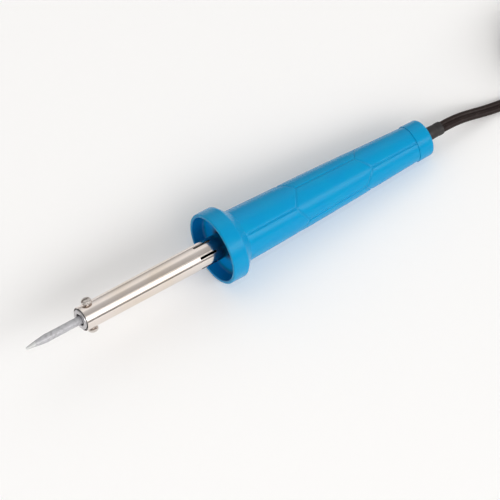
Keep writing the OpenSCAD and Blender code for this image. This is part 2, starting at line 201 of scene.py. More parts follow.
# %% Floor
def make_floor(half):
    """A broad, plain, matt white floor at the height on which the tool lies."""
    mesh = bpy.data.meshes.new("floor")
    corners = [(-half, -half, 0), (half, -half, 0), (half, half, 0), (-half, half, 0)]
    mesh.from_pydata(corners, [], [(0, 1, 2, 3)])
    floor = bpy.data.objects.new("floor", mesh)
    bpy.context.scene.collection.objects.link(floor)
    material = bpy.data.materials.new("white_board")
    material.use_nodes = True
    shader = material.node_tree.nodes["Principled BSDF"]
    shader.inputs["Base Color"].default_value = (0.97, 0.97, 0.97, 1)
    shader.inputs["Roughness"].default_value = 0.7
    mesh.materials.append(material)


make_floor(30)
print("white floor at the height of the bench")

# %% [markdown]
# ## Helpers for shapes
#
# A turned piece is an outline swung round the axis. Real corners are never sharp, so an outline is given by
# its few corner points, each with the radius that rounds it. Blender's Screw modifier could swing the
# outline, but building the grid of points here lets a formula move them afterwards, which the grip's relief
# and the screws' threads need.

# %% Outlines
def rounded(corners, steps=5, closed=True):
    """The corners, each (place, radius, rounding), with an arc of steps pieces in place of each corner."""
    out = []
    count = len(corners)
    for i, (x, r, size) in enumerate(corners):
        here = Vector((x, r))
        if size == 0 or (not closed and i in (0, count - 1)):
            out.append(here)
            continue
        before = Vector(corners[i - 1][:2]) - here
        after = Vector(corners[(i + 1) % count][:2]) - here
        half = before.angle(after) / 2
        reach = min(size / math.tan(half), 0.49 * before.length, 0.49 * after.length)
        size = reach * math.tan(half)
        middle = here + (before.normalized() + after.normalized()).normalized() * size / math.sin(half)
        first = here + before.normalized() * reach - middle
        last = here + after.normalized() * reach - middle
        sweep = first.angle_signed(last)
        for k in range(steps + 1):
            out.append(middle + Matrix.Rotation(-sweep * k / steps, 2) @ first)
    return [(p.x, p.y) for p in out]


square = rounded([(0, 0, 1), (9, 0, 1), (9, 9, 1), (0, 9, 1)])
print("a square with rounded corners takes", len(square), "points")


# %% Meshes
def skin(grid, along=False):
    """Points and quads of a grid of rows; each row closes on itself, and along joins last row to first."""
    rows, cols = grid.shape[:2]
    index = np.arange(rows * cols).reshape(rows, cols)
    index = np.hstack([index, index[:, :1]])
    if along:
        index = np.vstack([index, index[:1]])
    quads = np.stack([index[:-1, :-1], index[1:, :-1], index[1:, 1:], index[:-1, 1:]], -1)
    return grid.reshape(-1, 3), quads.reshape(-1, 4).tolist()


def make(name, shells, place=TOOL, sharp=38):
    """One object from several (points, faces) shells, points in millimetres in the place's own frame."""
    work = bmesh.new()
    for points, faces in shells:
        verts = [work.verts.new(place @ (Vector(p) * MM)) for p in np.asarray(points).tolist()]
        for face in faces:
            corners = [verts[i] for i in face]
            work.faces.new(corners)
    bmesh.ops.remove_doubles(work, verts=work.verts, dist=MM * 1e-4)
    bmesh.ops.recalc_face_normals(work, faces=work.faces)
    mesh = bpy.data.meshes.new(name)
    work.to_mesh(mesh)
    work.free()
    mesh.shade_smooth()
    mesh.set_sharp_from_angle(angle=math.radians(sharp))
    piece = bpy.data.objects.new(name, mesh)
    bpy.context.scene.collection.objects.link(piece)
    return piece


print("two rings of 8 points make", len(skin(np.zeros((2, 8, 3)))[1]), "faces")


# %% Turned shapes, and finishing a piece
def ring_grid(outline, sides, shape=None):
    """Rows of points round the X axis; shape(x, r, roll) may change the radius anywhere."""
    outline = np.array(outline)
    roll = np.linspace(0, 2 * np.pi, sides, endpoint=False)[None, :]
    x = outline[:, :1] + 0 * roll
    r = outline[:, 1:] + 0 * roll
    if shape is not None:
        r = shape(x, r, roll)
    return np.stack([x, -r * np.sin(roll), r * np.cos(roll)], -1)


def settle(piece, body, slot, finish, *nodes):
    """Gives a finished piece its material and the body it moves with, and hides the packed nodes it stands for."""
    piece.data.materials.clear()
    piece.data.materials.append(finish)
    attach(piece, body)
    if nodes:
        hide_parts(*nodes)
    print(piece.name, "on", body, "with", len(piece.data.polygons), "faces")
    return piece


print("rows, points in a row, coordinates:", ring_grid([(0, 1), (5, 1)], 12).shape)

# %% [markdown]
# ## Helpers for finishes
#
# No surface is one flat colour: plating is clouded, plastic is mottled, metal keeps the marks of the tool
# that cut it. Every finish below starts from one shader and adds a few noise patterns measured in
# millimetres, so that the marks have their real size whatever the piece. One Mapping node turns the pattern
# into the tool's own frame, or a screw's, so that lathe marks run round the piece's own axis.

# %% Colours
def paint(red, green, blue):
    """A colour given as on a paint card, in the linear values that shaders use."""
    parts = [value / 255 for value in (red, green, blue)]
    return tuple(v / 12.92 if v < 0.043 else ((v + 0.055) / 1.055) ** 2.4 for v in parts)


print("mid grey on the card is", round(paint(128, 128, 128)[0], 3), "in linear light")


# %% Finishes
class Finish:
    """A material in the making. It holds the shader and wires noise, marks and relief into it."""

    def __init__(self, name, colour, roughness, axis=TOOL, **sockets):
        self.material = bpy.data.materials.new(name)
        self.material.use_nodes = True
        self.tree = self.material.node_tree
        self.shader = self.tree.nodes["Principled BSDF"]
        self.shader.inputs["Base Color"].default_value = (*colour, 1)
        self.shader.inputs["Roughness"].default_value = roughness
        for socket, value in sockets.items():
            self.shader.inputs[socket.replace("_", " ")].default_value = value
        self.colour = None
        self.normal = None
        self.base = (*colour, 1)
        back = axis.inverted()
        own_frame = {
            "Vector": self.add("ShaderNodeTexCoord").outputs["Object"],
            "Location": back.translation / MM,
            "Rotation": back.to_euler(),
            "Scale": (1 / MM, 1 / MM, 1 / MM),
        }
        self.place = self.add("ShaderNodeMapping", own_frame)
        parts = self.add("ShaderNodeSeparateXYZ", {0: self.place.outputs[0]})
        self.x, self.y, self.z = parts.outputs

    def add(self, kind, values=None, **settings):
        """A new node; a value that is itself a socket is wired in, any other is typed in."""
        node = self.tree.nodes.new(kind)
        for key, value in settings.items():
            setattr(node, key, value)
        for key, value in (values or {}).items():
            if isinstance(value, bpy.types.NodeSocket):
                self.wire(value, node.inputs[key])
            else:
                node.inputs[key].default_value = value
        return node

    def wire(self, source, target):
        self.tree.links.new(source, target)

    def math(self, operation, first, second=0.0):
        """The result of one Math node."""
        return self.add("ShaderNodeMath", {0: first, 1: second}, operation=operation).outputs[0]

    def span(self, value, low, high, start=0.0, end=1.0):
        """The value's range low to high, brought to start to end and held there."""
        names = {"Value": value, "From Min": low, "From Max": high, "To Min": start, "To Max": end}
        return self.add("ShaderNodeMapRange", names, interpolation_type="SMOOTHSTEP").outputs[0]

    def noise(self, per_mm, stretch=(1, 1, 1), detail=3.0, place=None):
        """Clouds with about per_mm features in a millimetre, stretched by the three factors."""
        factors = {0: place or self.place.outputs[0], 1: stretch}
        where = self.add("ShaderNodeVectorMath", factors, operation="MULTIPLY")
        values = {"Vector": where.outputs[0], "Scale": per_mm, "Detail": detail}
        return self.add("ShaderNodeTexNoise", values).outputs["Fac"]

    def cells(self, per_mm):
        """Distance from the middles of irregular cells, about per_mm of them in a millimetre."""
        values = {"Vector": self.place.outputs[0], "Scale": per_mm}
        return self.add("ShaderNodeTexVoronoi", values).outputs["Distance"]

    def radius(self):
        """Distance from the X axis of the piece."""
        squares = [self.math("POWER", part, 2.0) for part in (self.y, self.z)]
        return self.math("SQRT", self.math("ADD", *squares))

    def rings(self, per_mm):
        """Marks that run round the X axis, as a lathe tool leaves them on a cylinder and on a face."""
        where = self.add("ShaderNodeCombineXYZ", {"X": self.x, "Y": self.radius()})
        return self.noise(per_mm, place=where.outputs[0], detail=2.0)

    def tint(self, factor, colour):
        """Turns the colour found so far towards another one where factor rises to 1."""
        mixed = self.add("ShaderNodeMix", {0: factor, 7: (*colour, 1)}, data_type="RGBA")
        if self.colour is None:
            mixed.inputs[6].default_value = self.base
        else:
            self.wire(self.colour, mixed.inputs[6])
        self.colour = mixed.outputs[2]
        self.wire(self.colour, self.shader.inputs["Base Color"])
        return self

    def rough(self, value):
        """Lets a pattern set the roughness."""
        self.wire(value, self.shader.inputs["Roughness"])
        return self

    def relief(self, height, depth_mm):
        """Fine surface relief, depth_mm deep where height goes from 1 to 0."""
        bump = self.add("ShaderNodeBump", {"Height": height, "Distance": depth_mm * MM, "Strength": 1.0})
        if self.normal is not None:
            self.wire(self.normal, bump.inputs["Normal"])
        self.normal = bump.outputs[0]
        self.wire(self.normal, self.shader.inputs["Normal"])
        return self


print("a finish can:", [name for name in vars(Finish) if not name.startswith("_")])

# %% [markdown]
# ## The mains lead's jacket
#
# The lead is flat twin flex: two cores side by side in one dark PVC jacket, 6.4 by 3.6 mm. Extruded PVC is
# half glossy, with very fine lines along it and a little dust, so it is dark but never black.

# %% Lead, strain relief and plug finishes
def make_jacket():
    jacket = Finish("cord_jacket", paint(31, 18, 15), 0.34, Specular_IOR_Level=0.24)
    dust = jacket.span(jacket.noise(0.35, detail=6), 0.52, 0.75)
    jacket.tint(jacket.math("MULTIPLY", dust, 0.3), paint(74, 62, 58))
    jacket.rough(jacket.span(jacket.noise(1.2), 0.3, 0.7, 0.28, 0.42))
    jacket.relief(jacket.noise(2.5, detail=5), 0.012)
    return jacket.material


def make_moulded_black(name, colour, grain_per_mm, roughness):
    """Moulded plastic from a spark-eroded mould: an even fine grain, handled spots smoother."""
    black = Finish(name, colour, roughness)
    handled = black.span(black.noise(0.12, detail=4), 0.4, 0.65)
    black.tint(black.math("MULTIPLY", handled, 0.5), tuple(v * 1.7 + 0.004 for v in colour))
    black.rough(black.span(black.noise(0.15), 0.35, 0.65, roughness - 0.12, roughness + 0.08))
    black.relief(black.noise(grain_per_mm, detail=2), 0.03)
    return black.material


cord_jacket = make_jacket()
boot_rubber = make_moulded_black("boot_rubber", paint(30, 27, 27), 3.0, 0.6)
plug_plastic = make_moulded_black("plug_plastic", paint(30, 28, 28), 2.2, 0.5)
tie_plastic = make_moulded_black("tie_plastic", paint(22, 22, 24), 4.0, 0.65)
print("lead finishes:", cord_jacket.name, boot_rubber.name, plug_plastic.name, tie_plastic.name)

# %% [markdown]
# ## The mains lead
#
# The lead comes straight out of its strain relief, sinks to the bench and runs off. The rest of its length
# is folded into a hank and tied at the waist, the way a new tool's lead is. A curve object with a round
# bevel can't be flat, so the lead is a mesh: its section, two lobes with a shallow groove between them, is
# swept along a route. It lies flat on the bench and turns up on edge into the hank, because a flat lead
# folds easily only across its thin side.

# %% The lead's route on the bench
flex_w, flex_t = 6.4, 3.6
BOOT_END = 262.7
cord_exit = TOOL @ Vector((BOOT_END * MM, 0, 0))
straight_out = cord_exit + along * 5 * MM
lead_route = [cord_exit, straight_out] + [
    Vector(p) * MM
    for p in (
        (141, -0.1, 7.9), (146, -0.3, 6.6), (151, -0.7, 5.1), (156, -1.2, 3.6), (161, -1.8, 2.5),
        (166, -2.6, 2), (171, -3.7, 1.9), (176, -5.1, 1.9), (181, -6.9, 2), (186, -9, 2.3),
        (191, -11.3, 2.8), (196, -13.5, 3.4), (201, -15.6, 3.5),
    )
]
end_route = [
    Vector(p) * MM
    for p in (
        (189.4, 4.6, 14.4), (191.2, -1.1, 15), (194.4, -6.2, 15), (200.5, -11.3, 15), (208, -14, 15),
        (216, -14, 15), (221, -12.6, 15.2), (225.7, -10.1, 15.6), (229.8, -6.7, 16.1), (232.8, -2.9, 16.6),
        (235.8, 0.9, 17.2), (239.9, 4.3, 18.1), (244.5, 6.8, 19.2), (249.2, 8.1, 20.2), (254, 8.6, 20.8),
    )
]


def roll_of_lead(point):
    """Degrees that the lead has turned up on edge on its way into the hank."""
    return 90 * min(max((point.x / MM - 176) / 25, 0), 1) ** 2


print("lead leaves the strain relief at", tuple(round(v, 4) for v in cord_exit))

# %% [markdown]
# ## The hank
#
# Each turn of a tied hank is a dog-bone: a round fold at each end, and a waist where the tie gathers it.
# Both are arcs that meet tangent to tangent, so a turn is four arcs, and the next turn inside it is the same
# four arcs with other radii. A loop lays three turns on the bench side and one on top, and two formulas move
# the lead from turn to turn and from layer to layer on the near fold, where nothing is in its way.

# %% The hank's sizes
hank_lo, hank_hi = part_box("cord_hank")
tie_lo, tie_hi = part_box("hank_tie")
hank_r = (hank_hi.y - hank_lo.y) / 2 / MM
hank_y = (hank_hi.y + hank_lo.y) / 2 / MM
waist_x = (hank_lo.x + hank_hi.x) / 2 / MM
near_x = hank_lo.x / MM + hank_r
TIE_T = 0.8
waist = (tie_hi.y - tie_lo.y) / 2 / MM - TIE_T - 0.5
lobe_r = hank_r - flex_t / 2
lane_step = flex_t + 0.2
half_span = waist_x - near_x
bend_y = (half_span**2 + waist**2 - hank_r**2) / (2 * (hank_r - waist)) + waist
bend_r = bend_y - waist + flex_t / 2
meet = math.degrees(math.atan2(bend_y, half_span))
LOW_Z, LAYER, ON_TOP, DROOP = 4.1, 6.45, 4.4, 0.7
ARC_STEP = 14
print("hank: fold radius", round(lobe_r, 2), "mm, waist", round(waist, 2), "mm each way")


# %% One turn of the hank
def eased(value, low, high):
    """0 up to low, 1 from high on, and a smooth rise between them."""
    t = min(max((value - low) / (high - low), 0), 1)
    return t * t * (3 - 2 * t)


def hank_arcs(first):
    """One turn from the near fold's angle first to the same place: (centre x, centre y, side, angle)."""
    arcs = [
        (near_x, 0, 1, first, -meet),
        (waist_x, -bend_y, -1, 180 - meet, meet),
        (waist_x + half_span, 0, 1, meet - 180, 180 - meet),
        (waist_x, bend_y, -1, -meet, meet - 180),
        (near_x, 0, 1, meet, 360 + first),
    ]
    for x, y, side, low, high in arcs:
        steps = max(2, round(abs(high - low) / ARC_STEP))
        for k in range(steps):
            yield x, y, side, low + (high - low) * k / steps


def hank_turn(lane, next_lane, layer, rises, lies_flat, last_angle=1e9):
    """The points of one turn, each with the lead's roll; on the near fold it moves to the next lane."""
    for x, y, side, angle in hank_arcs(-110):
        back = x == near_x and angle >= meet - 1e-6
        if back and angle > last_angle:
            break
        now = lane + (next_lane - lane) * (eased(angle, 150, 250) if back else 0)
        up = layer + (rises * eased(angle, meet, 150) if back else 0)
        flat = eased(angle, meet, 165) if back and lies_flat else 0
        r = lobe_r - lane_step * now if side > 0 else bend_r + lane_step * now
        turn = math.radians(angle)
        spot_x = x + r * math.cos(turn)
        spot_y = hank_y + y + r * math.sin(turn)
        height = LOW_Z + LAYER * up + (ON_TOP - LAYER) * flat - DROOP * eased(abs(spot_x - waist_x), 8, 32)
        yield Vector((spot_x, spot_y, height)) * MM, 90 * (1 - flat)


print("one turn has", len(list(hank_turn(0, 0, 0, 0, False))), "points")

# %% The whole route
turns = [
    dict(lane=0, next_lane=1, layer=0, rises=0, lies_flat=False),
    dict(lane=1, next_lane=2, layer=0, rises=0, lies_flat=False),
    dict(lane=2, next_lane=1, layer=0, rises=1, lies_flat=False),
    dict(lane=1, next_lane=1, layer=1, rises=1, lies_flat=True, last_angle=158),
]
stops = [(p, roll_of_lead(p)) for p in lead_route]
for turn in turns:
    stops += hank_turn(**turn)
stops += [(p, 0) for p in end_route]
print("points on the route:", len(stops))

# %% [markdown]
# ## Sweeping the lead
#
# The points are joined by one smooth curve, walked at even steps. At each step the section stands square to
# the way the lead goes, with its width level, and then rolls by the angle that belongs to that place.

# %% The lead as one mesh
def smooth_walk(points, values, step):
    """Evenly spaced points on a Catmull-Rom curve through the points, with the values carried along."""
    rows = np.array([[*p, v] for p, v in zip(points, values)])
    rows = np.vstack([2 * rows[0] - rows[1], rows, 2 * rows[-1] - rows[-2]])
    dense = []
    u = np.linspace(0, 1, 24, endpoint=False)[:, None]
    for a, b, c, d in zip(rows, rows[1:], rows[2:], rows[3:]):
        dense.append(
            0.5 * (2 * b + (c - a) * u + (2 * a - 5 * b + 4 * c - d) * u**2 + (3 * b - a - 3 * c + d) * u**3)
        )
    dense = np.vstack(dense + [rows[-2:-1]])
    run = np.concatenate([[0], np.cumsum(np.linalg.norm(np.diff(dense[:, :3], axis=0), axis=1))])
    marks = np.linspace(0, run[-1], int(run[-1] / step) + 1)
    return np.stack([np.interp(marks, run, dense[:, k]) for k in range(4)], -1), run[-1]


def flex_section(grow=0.0, dip=0.8, end_steps=8, dip_steps=8):
    """Half-width and half-thickness points round the flat twin section."""
    lobe, shift = flex_t / 2, (flex_w - flex_t) / 2
    out = []
    for side in (1, -1):
        for k in range(end_steps + 1):
            a = math.radians(-90 + 180 * k / end_steps)
            out.append((side * (shift + (lobe + grow) * math.cos(a)), side * (lobe + grow) * math.sin(a)))
        for k in range(1, dip_steps):
            t = 1 - 2 * k / dip_steps
            sunk = dip * (1 + math.cos(math.pi * t)) / 2
            out.append((side * shift * t, side * (lobe + grow - sunk)))
    return np.array(out)


def sweep(walk, section):
    """Rows of section points along a walk of points with rolls; the section's width starts level."""
    spots, rolls = walk[:, :3], np.radians(walk[:, 3])[:, None]
    way = np.gradient(spots, axis=0)
    way /= np.linalg.norm(way, axis=1, keepdims=True)
    level = np.cross([0, 0, 1], way)
    level /= np.linalg.norm(level, axis=1, keepdims=True)
    rise = np.cross(way, level)
    wide = level * np.cos(rolls) + rise * np.sin(rolls)
    thick = np.cross(way, wide)
    return spots[:, None] + wide[:, None] * section[None, :, :1] + thick[:, None] * section[None, :, 1:]


def capped(grid):
    """The skin of a swept grid with its two open ends closed."""
    points, faces = skin(grid)
    rows, cols = grid.shape[:2]
    return points, faces + [list(range(cols)), list(range(rows * cols - cols, rows * cols))[::-1]]


walk, cord_length = smooth_walk([p for p, _ in stops], [roll for _, roll in stops], step=1.4 * MM)
walk_mm = walk.copy()
walk_mm[:, :3] /= MM
cord = make("mains_lead", [capped(sweep(walk_mm, flex_section()))], BENCH)
settle(cord, "iron", "cord_jacket", cord_jacket, "cord", "cord_hank")
print("length of the lead:", round(cord_length, 3), "m")

# %% [markdown]
# ## The tie round the hank
#
# The strap is a moulded band with a thickened edge, closed by a small ribbed slide. A plain ring would look
# like a cut tube, so the band's section has raised edges, and it is swept round a rounded rectangle that
# just clears the lead.

# %% Tie
def tie_loop(half_y, half_z, corner, steps=6):
    """Points and outward directions round a rounded rectangle in the YZ plane."""
    for k, (sy, sz) in enumerate(((1, 1), (-1, 1), (-1, -1), (1, -1))):
        for i in range(steps + 1):
            a = math.radians(90 * k + 90 * i / steps)
            out = (math.cos(a), math.sin(a))
            yield (sy * (half_y - corner) + corner * out[0], sz * (half_z - corner) + corner * out[1]), out


def make_tie(width):
    half_y = (tie_hi.y - tie_lo.y) / 2 / MM - TIE_T / 2
    half_z = (tie_hi.z - tie_lo.z) / 2 / MM - TIE_T / 2
    low, high, edge = -TIE_T / 2, TIE_T / 2, width / 2
    band = rounded(
        [
            (-edge, low, 0.2), (-edge, high, 0.25), (1 - edge, high, 0.15), (1.3 - edge, high - 0.22, 0.1),
            (edge - 1.3, high - 0.22, 0.1), (edge - 1, high, 0.15), (edge, high, 0.25), (edge, low, 0.2),
        ],
        steps=3,
    )
    rows = []
    for (y, z), (out_y, out_z) in tie_loop(half_y, half_z, 1.6):
        rows.append([(x, y + out_y * t, z + out_z * t) for x, t in band])
    slide_w, slide_l, slide_h = width + 2.4, 5.5, 1.9
    rib_count, rib = 4, 0.35
    slide_top = half_z + TIE_T / 2 + slide_h
    profile = [(-slide_l / 2, half_z + 0.2, 0.2), (-slide_l / 2, slide_top - 0.5, 0.4)]
    for k in range(rib_count):
        y = slide_l * ((k + 0.5) / rib_count - 0.5)
        profile += [(y - rib, slide_top - rib, 0.12), (y, slide_top, 0.25), (y + rib, slide_top - rib, 0.12)]
    profile += [(slide_l / 2, slide_top - 0.5, 0.4), (slide_l / 2, half_z + 0.2, 0.2)]
    outline = rounded(profile, steps=3)
    slide_y = half_y - 6.5
    layers = [(-slide_w / 2, 0.9), (-slide_w / 2 + 0.3, 1), (slide_w / 2 - 0.3, 1), (slide_w / 2, 0.9)]
    block = [
        [(x, slide_y + y * inset, half_z + 0.2 + (z - half_z - 0.2) * inset) for y, z in outline]
        for x, inset in layers
    ]
    middle = Vector((waist_x, hank_y, (tie_hi.z + tie_lo.z) / 2 / MM)) * MM
    place = Matrix.Translation(middle)
    return make("hank_tie_strap", [skin(np.array(rows), along=True), capped(np.array(block))], place)


tie = make_tie(8)
settle(tie, "iron", "tie_plastic", tie_plastic, "hank_tie")

# %% [markdown]
# ## The plug
#
# A moulded two-blade plug: a ribbed neck that spares the lead from bending, shoulders that open out from
# round to almost rectangular, and grooves for the fingers. It is lofted: each cross-section is the same
# formula with its own width, height and squareness, so the body flows from the neck with no seam.

# %% Plug body
PLUG_NECK, PLUG_BODY, BLADE_REACH, BLADE_ROOT, BLADE_PITCH = 15, 23, 17.5, 9, 12.7
plug_lo, plug_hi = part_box("plug_body")
plug_x = plug_lo.x / MM + PLUG_NECK
plug_half_w = (plug_hi.y - plug_lo.y) / 2 / MM
plug_half_t = (plug_hi.z - plug_lo.z) / 2 / MM
PLUG = Matrix.Translation(Vector((plug_x * MM, (plug_lo.y + plug_hi.y) / 2, (plug_lo.z + plug_hi.z) / 2)))


def soft_square(x, half_w, half_t, squareness, sides):
    """A closed section between a circle, at squareness 2, and a rectangle."""
    a = np.linspace(0, 2 * np.pi, sides, endpoint=False) + 0.001
    power = 2 / squareness
    y = half_w * np.sign(np.cos(a)) * np.abs(np.cos(a)) ** power
    z = half_t * np.sign(np.sin(a)) * np.abs(np.sin(a)) ** power
    return np.stack([np.full(sides, x), y, z], -1)


def make_plug(sides=96):
    rows = []
    for x in np.linspace(-PLUG_NECK, -1, 43):
        taper = (x + PLUG_NECK) / PLUG_NECK
        ring = 0.42 * max(0.0, math.sin(2 * math.pi * (x + PLUG_NECK) / 2.8)) ** 0.5
        r = 3.9 + 0.9 * taper + ring * (1 - 0.3 * taper) - 0.05
        rows.append(soft_square(x, r, min(r, plug_half_t), 2, sides))
    for x in np.linspace(-0.6, PLUG_BODY - 1, 64):
        open_out = eased(x, -0.6, 8)
        grip = math.sin(2 * math.pi * (x - 7) / 2.6) if 7 < x < 17.4 else 0
        half_w = 4.9 + (plug_half_w - 4.9) * open_out - 0.45 * (1 - math.cos(math.pi * grip)) / 2
        half_t = 4.9 + (plug_half_t - 4.9) * eased(x, -0.6, 6)
        rows.append(soft_square(x, half_w, half_t, 2 + 3.2 * open_out, sides))
    for k in range(1, 7):
        a = math.radians(15 * k)
        inset = 1 - math.cos(a)
        x = PLUG_BODY - 1 + math.sin(a)
        rows.append(soft_square(x, plug_half_w - inset, plug_half_t - inset, 5.2, sides))
    for shrink in (0.9, 0.88, 0.86, 0.0):
        x = PLUG_BODY - (0.35 if shrink < 0.88 else 0)
        rows.append(soft_square(x, (plug_half_w - 1) * shrink, (plug_half_t - 1) * shrink, 5.2, sides))
    first = soft_square(-PLUG_NECK, 0, 0, 2, sides)
    return make("mains_plug_body", [skin(np.array([first] + rows))], PLUG, sharp=50)


plug = make_plug()
settle(plug, "iron", "plug_plastic", plug_plastic, "plug_body")

# %% [markdown]
# ## The plug's blades
#
# Blades are stamped from brass strip and nickel plated: round-cornered at the tip, with a hole, and every
# edge slightly broken by the press. A flat curve with an inner loop for the hole is filled, thickened and
# bevelled by Blender in one step, which a box with a hole cut in it would need three for.

# %% Plug blades
def stamped(outlines, thickness, edge):
    """A flat plate in the XY plane from closed outlines, the first one outside; points in millimetres."""
    data = bpy.data.curves.new("stamping", "CURVE")
    data.dimensions = "2D"
    data.fill_mode = "BOTH"
    for outline in outlines:
        spline = data.splines.new("POLY")
        spline.points.add(len(outline) - 1)
        for point, (x, y) in zip(spline.points, outline):
            point.co = (x, y, 0, 1)
        spline.use_cyclic_u = True
    data.extrude = thickness / 2 - edge
    data.bevel_depth = edge
    data.bevel_resolution = 2
    data.offset = -edge
    curve = bpy.data.objects.new("stamping", data)
    bpy.context.scene.collection.objects.link(curve)
    shape = bpy.data.meshes.new_from_object(curve.evaluated_get(bpy.context.evaluated_depsgraph_get()))
    points = [tuple(v.co) for v in shape.vertices]
    faces = [tuple(f.vertices) for f in shape.polygons]
    bpy.data.objects.remove(curve)
    bpy.data.curves.remove(data)
    bpy.data.meshes.remove(shape)
    return points, faces


def circle(x, y, r, steps=32):
    angles = [2 * math.pi * k / steps for k in range(steps)]
    return [(x + r * math.cos(a), y + r * math.sin(a)) for a in angles]


def make_blades(width, thickness, hole_r, hole_in):
    tip_x, root_x, half = PLUG_BODY + BLADE_REACH, PLUG_BODY - BLADE_ROOT, width / 2
    outline = rounded([(root_x, -half, 0.3), (tip_x, -half, 1.6), (tip_x, half, 1.6), (root_x, half, 0.3)])
    points, faces = stamped([outline, circle(tip_x - hole_in, 0, hole_r)], thickness, 0.18)
    shells = []
    for side in (-1, 1):
        shells.append(([(x, side * BLADE_PITCH / 2 + z, y) for x, y, z in points], faces))
    return make("mains_plug_blades", shells, PLUG, sharp=40)


blade = Finish("blade_nickel", paint(206, 200, 190), 0.22, Metallic=1.0)
blade.rough(blade.span(blade.noise(6, stretch=(0.05, 1, 1)), 0.3, 0.7, 0.14, 0.34))
fingermarks = blade.span(blade.noise(0.4, detail=5), 0.55, 0.8, 0, 0.5)
blade.tint(fingermarks, paint(168, 156, 138))
blade.relief(blade.noise(8, stretch=(0.03, 1, 1), detail=1), 0.004)
blades = make_blades(width=6.35, thickness=1.5, hole_r=1.65, hole_in=3.5)
settle(blades, "iron", "blade_nickel", blade.material, "plug_blades")

# %% [markdown]
# ## The strain relief
#
# A short rubber sleeve grips the lead where it leaves the handle. Its outside is round and slightly
# tapered, with a bead at the end, and its inside is the shape of the flat lead. Both skins have the same
# number of points in a ring, so the sleeve is one closed grid: out along the outside, back along the inside.

# %% Strain relief
CAP_X, CAP_END = 242.6, 252.0


def flex_ring(x, count, grow):
    """The flat section as count points, placed by angle so that it matches a round ring's points."""
    section = flex_section(grow)
    angle = np.unwrap(np.arctan2(section[:, 1], section[:, 0]))
    order = np.argsort(angle % (2 * np.pi))
    turn = (angle % (2 * np.pi))[order]
    reach = np.linalg.norm(section, axis=1)[order]
    roll = np.linspace(0, 2 * np.pi, count, endpoint=False)
    across = (np.pi / 2 + roll) % (2 * np.pi)
    r = np.interp(across, turn, reach, period=2 * np.pi)
    return np.stack([np.full(count, x), -r * np.sin(roll), r * np.cos(roll)], -1)


def make_boot(sides=96):
    inner_x, flange_x, flange_end = CAP_X - 2.5, CAP_END - 8, CAP_END - 5.4
    outline = rounded(
        [
            (inner_x, 3.6, 0), (inner_x, 4.2, 0.2), (flange_x, 4.3, 0), (flange_x, 5.8, 0.3),
            (flange_end, 5.8, 0.3), (flange_end, 3.85, 0), (CAP_END + 0.6, 3.85, 0.3),
            (CAP_END + 2, 3.62, 1.0), (BOOT_END - 3.4, 3.42, 0.6), (BOOT_END - 2.6, 3.55, 0.4),
            (BOOT_END - 0.9, 3.55, 0.5), (BOOT_END, 3.42, 0.35), (BOOT_END, 3.25, 0),
        ],
        closed=False,
    )
    outside = ring_grid(outline, sides)
    inside = np.array([flex_ring(x, sides, 0.03) for x in (BOOT_END, BOOT_END - 4, inner_x)])
    return make("cord_strain_relief", [skin(np.vstack([outside, inside]), along=True)])


boot = make_boot()
settle(boot, "iron", "boot_rubber", boot_rubber, "cord_boot")

# %% [markdown]
# ## The handle's plastic
#
# The handle is one moulding in bright blue thermoset. Its surface is half glossy with a faint unevenness
# from the mould, and the grooves of the relief are painted a little darker than the panels, as painted shade
# and dust. The mesh stores how deep each point lies in a groove, and the finish reads it back. Inside the cup
# the wall has painted shade, the floor painted brighter light, and round the barrel painted shade and a heat
# stain.

# %% Handle plastic
GUARD_X, FLOOR_X, GUARD_R, CUP_R, SEAT_R = 117.0, 124.0, 20.0, 18.0, 7.0


def make_handle_plastic():
    plastic = Finish("handle_plastic", paint(0, 143, 196), 0.22, Specular_IOR_Level=0.17)
    groove = plastic.add("ShaderNodeAttribute", attribute_name="groove").outputs["Fac"]
    # painted shade in the grooves, with a little dust: the deeper a point lies in a groove, the darker its blue
    plastic.tint(plastic.math("MULTIPLY", groove, 0.16), paint(0, 108, 160))
    cloud = plastic.span(plastic.noise(0.09, detail=5), 0.35, 0.7)
    plastic.tint(plastic.math("MULTIPLY", cloud, 0.3), paint(0, 153, 192))
    specks = plastic.span(plastic.noise(1.6, detail=6), 0.66, 0.8)
    plastic.tint(plastic.math("MULTIPLY", specks, 0.2), paint(40, 158, 200))
    radius = plastic.radius()
    in_cup = plastic.span(plastic.x, FLOOR_X + 1.2, FLOOR_X + 0.4)
    inside_rim = plastic.math("MULTIPLY", plastic.span(radius, CUP_R + 0.7, CUP_R + 0.1), in_cup)
    wall = plastic.math("MULTIPLY", inside_rim, plastic.span(radius, CUP_R - 1.6, CUP_R - 0.4))
    # painted shade on the cup's inner wall
    plastic.tint(plastic.math("MULTIPLY", wall, 0.6), paint(0, 70, 150))
    # painted light: the cup's floor is painted a brighter blue
    cup_floor_light = plastic.math("MULTIPLY", plastic.span(radius, CUP_R - 1.6, CUP_R - 2.8), in_cup)
    plastic.tint(plastic.math("MULTIPLY", cup_floor_light, 0.6), paint(0, 152, 240))
    # painted shade round the barrel in the cup, together with a heat stain
    scorch_and_shade = plastic.math("MULTIPLY", plastic.span(radius, SEAT_R + 4, SEAT_R), in_cup)
    plastic.tint(plastic.math("MULTIPLY", scorch_and_shade, 0.8), paint(16, 24, 50))
    rubbed = plastic.span(plastic.noise(0.2, detail=3), 0.3, 0.7, 0.17, 0.27)
    plastic.rough(plastic.math("ADD", rubbed, plastic.math("MULTIPLY", groove, 0.12)))
    plastic.relief(plastic.noise(0.8, detail=2), 0.02)
    plastic.relief(plastic.noise(4.0, detail=2), 0.006)
    return plastic.material


handle_plastic = make_handle_plastic()
print("finish:", handle_plastic.name)

# %% [markdown]
# ## The handle's relief
#
# The grip is divided into long six-sided panels by soft grooves. Four grooves run back from the guard, fork,
# run on halfway between, and join again near the rear. Booleans or a texture could cut them, but a formula
# is cleaner: the distance from each point of the surface to the nearest groove, and from it the depth. The
# pattern is the same every quarter turn and mirrored in each quarter, so every point is folded into one
# half-quarter first, and one fork stands for all of them.

